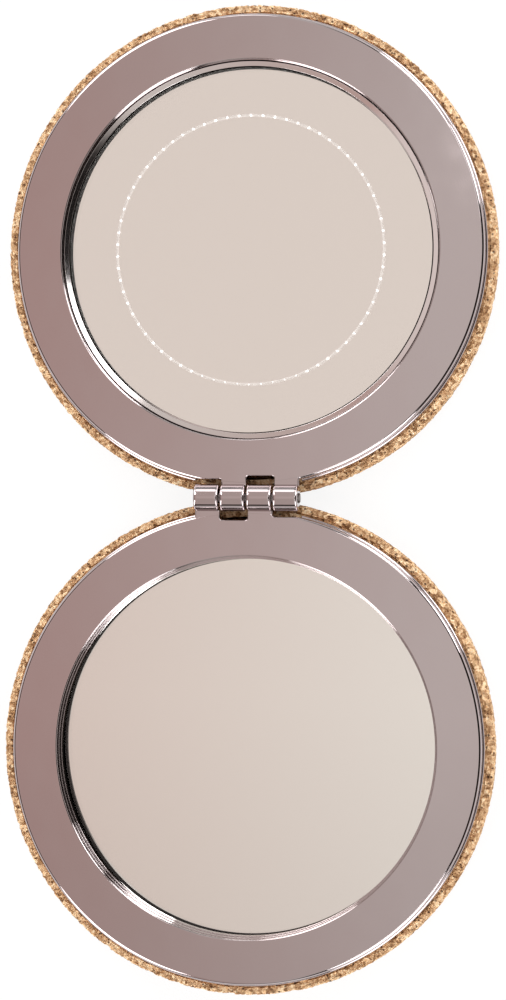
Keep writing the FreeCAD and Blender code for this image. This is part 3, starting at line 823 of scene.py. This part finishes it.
class MIRROR_OT_trays(bpy.types.Operator):
    """Plated trays behind the rings"""

    bl_idname = "compact_mirror.trays"
    bl_label = "Trays"

    def execute(self, context):
        sizes = context.scene.mirror_sizes
        m = measures()
        outline = soften([
            (0, m.tray_foot, 0), (m.tray_outer, m.tray_foot, 0), (m.tray_outer, m.cork_rim, 0),
            (m.rim_radius, m.cork_rim, 0), (m.rim_radius, m.rim_top, sizes.rim_edge_round),
            (m.tray_outer, m.rim_top, 0), (m.tray_outer, m.groove_roof, 0), (m.tray_inner, m.groove_roof, 0),
            (m.tray_inner, m.tray_top, 0), (0, m.tray_top, 0),
        ])
        half_width = m.barrel_length / 2 + sizes.knuckle_gap
        far = m.rim_radius + m.barrel_radius
        foot = m.cork_rim - sizes.relief_depth
        roof = m.groove_roof + m.barrel_radius
        relief = [
            (m.notch_floor, m.cork_rim), (m.tray_outer, foot), (far, foot),
            (far, roof), (m.notch_floor, roof),
        ]
        for half in SIDES:
            tray = shown(f"{half}_tray_shell", turned(outline, ROUND_SIDES))
            tool = stacked([
                [(across, reach, height) for reach, height in relief] for across in (-half_width, half_width)
            ])
            carve(tray, "DIFFERENCE", shown("relief", tool))
            tray.data.transform(half_matrix(half, m))
            dress(tray, half, [f"{half}_tray"], "plated_abs", chrome_plate())
        return {"FINISHED"}


def flat_section(sizes, m):
    """Half section of the base's glass, with a bevel on its edges."""
    arris = sizes.glass_arris
    return [
        (0, m.glass_foot), (m.glass_radius - arris, m.glass_foot), (m.glass_radius, m.glass_foot + arris),
        (m.glass_radius, m.glass_top - arris), (m.glass_radius - arris, m.glass_top), (0, m.glass_top),
    ]


def bowed(radius, curvature, m):
    """Height of a sphere about the bent glass's centre, at a distance from the lid's axis."""
    return m.sphere_centre - math.sqrt(curvature ** 2 - radius ** 2)


def bent_section(sizes, m):
    """Half section of the lid's glass, between two spheres about one centre."""
    radii = [m.lid_glass_radius * step / GLASS_LOOPS for step in range(GLASS_LOOPS + 1)]
    front = [(radius, bowed(radius, sizes.mirror_curvature, m)) for radius in radii]
    back_curvature = sizes.mirror_curvature + sizes.glass_thickness - sizes.coat_thickness
    back = [(radius, bowed(radius, back_curvature, m)) for radius in radii]
    return back + front[::-1]


def seat_section(sizes, m):
    """Half section of the lid's seat: its foot, its neck, and a wider rim that slopes to the glass."""
    edge = sizes.seat_edge
    rim_foot = m.seat_top - sizes.seat_lip
    rim_outer = m.seat_neck + sizes.seat_spread
    outer = Vector((rim_outer, m.seat_top))
    inner = Vector((m.seat_bore, m.seat_top - sizes.seat_fall))
    # Two loops close to the rim's edges keep its face flat between them.
    supports = [(*outer.lerp(inner, share), 0) for share in RIM_SUPPORTS]
    return soften([
        (0, m.seat_foot, 0), (m.seat_radius, m.seat_foot, 0), (m.seat_radius, m.glass_top, 0),
        (m.seat_neck, m.glass_top, 0), (m.seat_neck, rim_foot, 0), (rim_outer, rim_foot, 0),
        (*outer, edge), *supports, (*inner, edge), (m.seat_bore, m.tape_foot, 0), (0, m.tape_foot, 0),
    ])


def silvered(piece):
    """Marks the faces on the back of a glass for the silver coat, and those round it as ground."""
    for face in piece.data.polygons:
        if face.normal.z < -FACING:
            face.material_index = SILVER_SLOT
        elif face.normal.z < FACING:
            face.material_index = GROUND_SLOT


class MIRROR_OT_glasses(bpy.types.Operator):
    """Flat glass of the base, and bent glass of the lid in its seat"""

    bl_idname = "compact_mirror.glasses"
    bl_label = "Glasses and Seat"

    def execute(self, context):
        sizes = context.scene.mirror_sizes
        m = measures()
        for half, section in (("base", flat_section), ("lid", bent_section)):
            glass = shown(f"{half}_glass", turned(section(sizes, m), ROUND_SIDES), half_matrix(half, m))
            silvered(glass)
            finishes = float_glass(), silver_coat(), ground_edge()
            dress(glass, half, [f"{half}_mirror"], "mirror_glass", *finishes)
        seat = shown("lid_seat", turned(seat_section(sizes, m), ROUND_SIDES), half_matrix("lid", m))
        dress(seat, "lid", ["lid_mirror_seat"], "plated_abs", metallised_coat())
        return {"FINISHED"}


class MIRROR_OT_dots(bpy.types.Operator):
    """Ring of small frosted dots on the lid's glass"""

    bl_idname = "compact_mirror.dots"
    bl_label = "Frosted Dots"

    def execute(self, context):
        sizes = context.scene.mirror_sizes
        if not sizes.show_dots:
            return {"FINISHED"}
        m = measures()
        height = bowed(sizes.dot_ring_radius, sizes.mirror_curvature, m)
        inner = sizes.dot_ring_radius - sizes.dot_line / 2
        outer = sizes.dot_ring_radius + sizes.dot_line / 2
        top = height + sizes.dot_height / 2
        line = [(inner, height), (outer, height), (outer, top), (inner, top)]
        points, faces = turned(line, LINE_SIDES_PER_DOT * sizes.dot_count)
        line_faces = len(faces)
        for index in range(sizes.dot_count):
            angle = FULL_TURN * index / sizes.dot_count
            faint = abs(math.remainder(angle, FULL_TURN)) < sizes.faint_arc / 2
            radius = sizes.dot_radius * (sizes.faint_share if faint else 1)
            dot, sides = turned([
                (0, 0), (radius, 0), (radius, sizes.dot_height), (0, sizes.dot_height),
            ], DOT_SIDES)
            place = Matrix.Rotation(-angle, 4, "Z") @ Matrix.Translation((0, sizes.dot_ring_radius, height))
            faces += [[corner + len(points) for corner in side] for side in sides]
            points += [place @ Vector(point) for point in dot]
        dots = shown("lid_frosted_dots", (points, faces), half_matrix("lid", m))
        # The line's faces come first and take the second material.
        for index, face in enumerate(dots.data.polygons):
            face.material_index = 1 if index < line_faces else 0
        dress(dots, "lid", [], "mirror_glass", frosted_dot(), etched_haze())
        return {"FINISHED"}


class MIRROR_OT_pin(bpy.types.Operator):
    """Hinge pin with its knurled end"""

    bl_idname = "compact_mirror.pin"
    bl_label = "Hinge Pin"

    def execute(self, context):
        sizes = context.scene.mirror_sizes
        m = measures()
        radius = m.pin_crest - KNURL_DEPTH
        knurl = m.pin_right - PIN_CHAMFER - sizes.knurl_length
        ridge = knurl + PIN_CHAMFER
        points, faces = turned([
            (0, m.pin_left), (radius - PIN_CHAMFER, m.pin_left), (radius, m.pin_left + PIN_CHAMFER),
            (radius, knurl), (radius, ridge), (radius, m.pin_right - PIN_CHAMFER),
            (radius - PIN_CHAMFER, m.pin_right), (0, m.pin_right),
        ], sizes.knurl_ridges * SIDES_PER_RIDGE)
        # The ridges stand highest at the start of the knurl and run out towards the pin's end.
        for index, (x, y, z) in enumerate(points):
            if abs(z - ridge) < SAME_PLACE:
                swell = 1 + KNURL_DEPTH / radius * math.cos(sizes.knurl_ridges * math.atan2(y, x))
                points[index] = (x * swell, y * swell, z)
        place = Matrix.Translation((0, 0, m.axis_height)) @ ALONG_X
        pin = shown("hinge_pin_rod", (points, faces), place)
        dress(pin, "lid", ["hinge_pin"], "steel", turned_steel())
        return {"FINISHED"}


class MIRROR_OT_hidden_layers(bpy.types.Operator):
    """Glue, foam tape and magnets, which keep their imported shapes"""

    bl_idname = "compact_mirror.hidden_layers"
    bl_label = "Hidden Layers"

    def execute(self, context):
        finishes = {
            "cork_glue": contact_glue(), "mirror_tape": foam_tape(),
            "magnet_left": nickel_plate(), "magnet_right": nickel_plate(),
        }
        for half in SIDES:
            for layer, material in finishes.items():
                mesh = frame["nodes"][f"{half}_{layer}"].data
                mesh.materials.clear()
                mesh.materials.append(material)
        return {"FINISHED"}


# Studio
class MIRROR_OT_stage(bpy.types.Operator):
    """White floor, soft studio light and the camera"""

    bl_idname = "compact_mirror.stage"
    bl_label = "Stage"

    def execute(self, context):
        self.floor()
        self.room(context.scene)
        self.lamps(context.scene)
        self.camera(context.scene)
        context.scene.view_settings.view_transform = "Standard"
        return {"FINISHED"}

    def floor(self):
        """Wide sheet of paper below the cork."""
        reach = FLOOR_REACH
        corners = [(-reach, -reach, 0), (reach, -reach, 0), (reach, reach, 0), (-reach, reach, 0)]
        paper = shown("paper_floor", (corners, [(0, 1, 2, 3)]))
        paper.data.materials.append(white_paper())

    def room(self, scene):
        """Warm ceiling towards the left, a dark right side, pale ends, low haze and a white horizon."""
        scene.world = bpy.data.worlds.new("warm_room")
        scene.world.use_nodes = True
        tree = scene.world.node_tree
        towards = add(tree, "ShaderNodeTexCoord").outputs["Generated"]
        parts = add(tree, "ShaderNodeSeparateXYZ", {"Vector": towards}).outputs
        ramps = {}
        for axis, stops in (("X", [(*stop, 1) for stop in ROOM_ACROSS]), ("Y", ROOM_ALONG)):
            place = add(tree, "ShaderNodeMapRange", {"Value": parts[axis], "From Min": -1, "From Max": 1})
            ramps[axis] = add(
                tree, "ShaderNodeValToRGB", {"Fac": place.outputs["Result"]},
                stops=[((position + 1) / 2, (*linear(code), cover)) for position, code, cover in stops],
            ).outputs
        high, above = [
            add(tree, "ShaderNodeMapRange", {"Value": parts["Z"], "From Min": start, "From Max": end})
            for start, end in (HAZE_TOP, HORIZON)
        ]
        sides = add(
            tree, "ShaderNodeMix",
            {"Factor": high.outputs["Result"], 6: (*linear(HAZE), 1), 7: ramps["X"]["Color"]},
            data_type="RGBA",
        )
        room = add(
            tree, "ShaderNodeMix",
            {"Factor": ramps["Y"]["Alpha"], 6: sides.outputs[2], 7: ramps["Y"]["Color"]}, data_type="RGBA",
        )
        whole = add(
            tree, "ShaderNodeMix",
            {"Factor": above.outputs["Result"], 6: (1, 1, 1, 1), 7: room.outputs[2]}, data_type="RGBA",
        )
        tree.links.new(whole.outputs[2], tree.nodes["Background"].inputs["Color"])

    def lamps(self, scene):
        """Five tall soft ovals round the room, a small one at its far end, and two on the ceiling."""
        for name, place, wide, tall, energy in LAMPS:
            light = bpy.data.lights.new(name, "AREA")
            light.shape = "ELLIPSE"
            light.size = wide
            light.size_y = tall
            light.energy = energy
            lamp = bpy.data.objects.new(name, light)
            lamp.location = place
            lamp.rotation_euler = Vector(place).to_track_quat("Z", "Y").to_euler()
            scene.collection.objects.link(lamp)

    def camera(self, scene):
        """Camera above the hinge, a little to the right, with a lens as long as the picture needs."""
        lens = bpy.data.cameras.new("camera")
        lens.sensor_width = SENSOR_WIDTH
        lens.lens = FOCAL_PIXELS * SENSOR_WIDTH / max(PHOTO_SIZE)
        lens.clip_start = 0.01
        lens.clip_end = 100
        camera = bpy.data.objects.new("camera", lens)
        camera.location = [part * MM for part in CAMERA_PLACE]
        camera.rotation_euler = [math.radians(angle) for angle in CAMERA_TURN]
        scene.collection.objects.link(camera)
        scene.camera = camera


# Panel and start
OPERATORS = (
    MIRROR_OT_cork_caps, MIRROR_OT_rings, MIRROR_OT_trays, MIRROR_OT_glasses, MIRROR_OT_dots, MIRROR_OT_pin,
    MIRROR_OT_hidden_layers, MIRROR_OT_stage,
)


class MIRROR_PT_panel(bpy.types.Panel):
    """Pieces of the compact mirror and their settings"""

    bl_idname = "MIRROR_PT_panel"
    bl_label = "Compact Mirror"
    bl_space_type = "VIEW_3D"
    bl_region_type = "UI"
    bl_category = "Compact Mirror"

    def draw(self, context):
        layout = self.layout
        for operator in OPERATORS:
            layout.operator(operator.bl_idname)
        for group in (context.scene.mirror_sizes, context.scene.mirror_colours):
            for name in group.__annotations__:
                layout.prop(group, name)


CLASSES = (MirrorSizes, MirrorColours, *OPERATORS, MIRROR_PT_panel)


def register():
    """Adds the classes and the panel's settings to Blender."""
    for each in CLASSES:
        bpy.utils.register_class(each)
    bpy.types.Scene.mirror_sizes = PointerProperty(type=MirrorSizes)
    bpy.types.Scene.mirror_colours = PointerProperty(type=MirrorColours)


def unregister():
    """Takes them out again."""
    del bpy.types.Scene.mirror_colours
    del bpy.types.Scene.mirror_sizes
    for each in reversed(CLASSES):
        bpy.utils.unregister_class(each)


def main():
    """Builds every piece and the stage."""
    register()
    bpy.ops.compact_mirror.cork_caps()
    bpy.ops.compact_mirror.rings()
    bpy.ops.compact_mirror.trays()
    bpy.ops.compact_mirror.glasses()
    bpy.ops.compact_mirror.dots()
    bpy.ops.compact_mirror.pin()
    bpy.ops.compact_mirror.hidden_layers()
    bpy.ops.compact_mirror.stage()


if __name__ == "__main__":
    main()
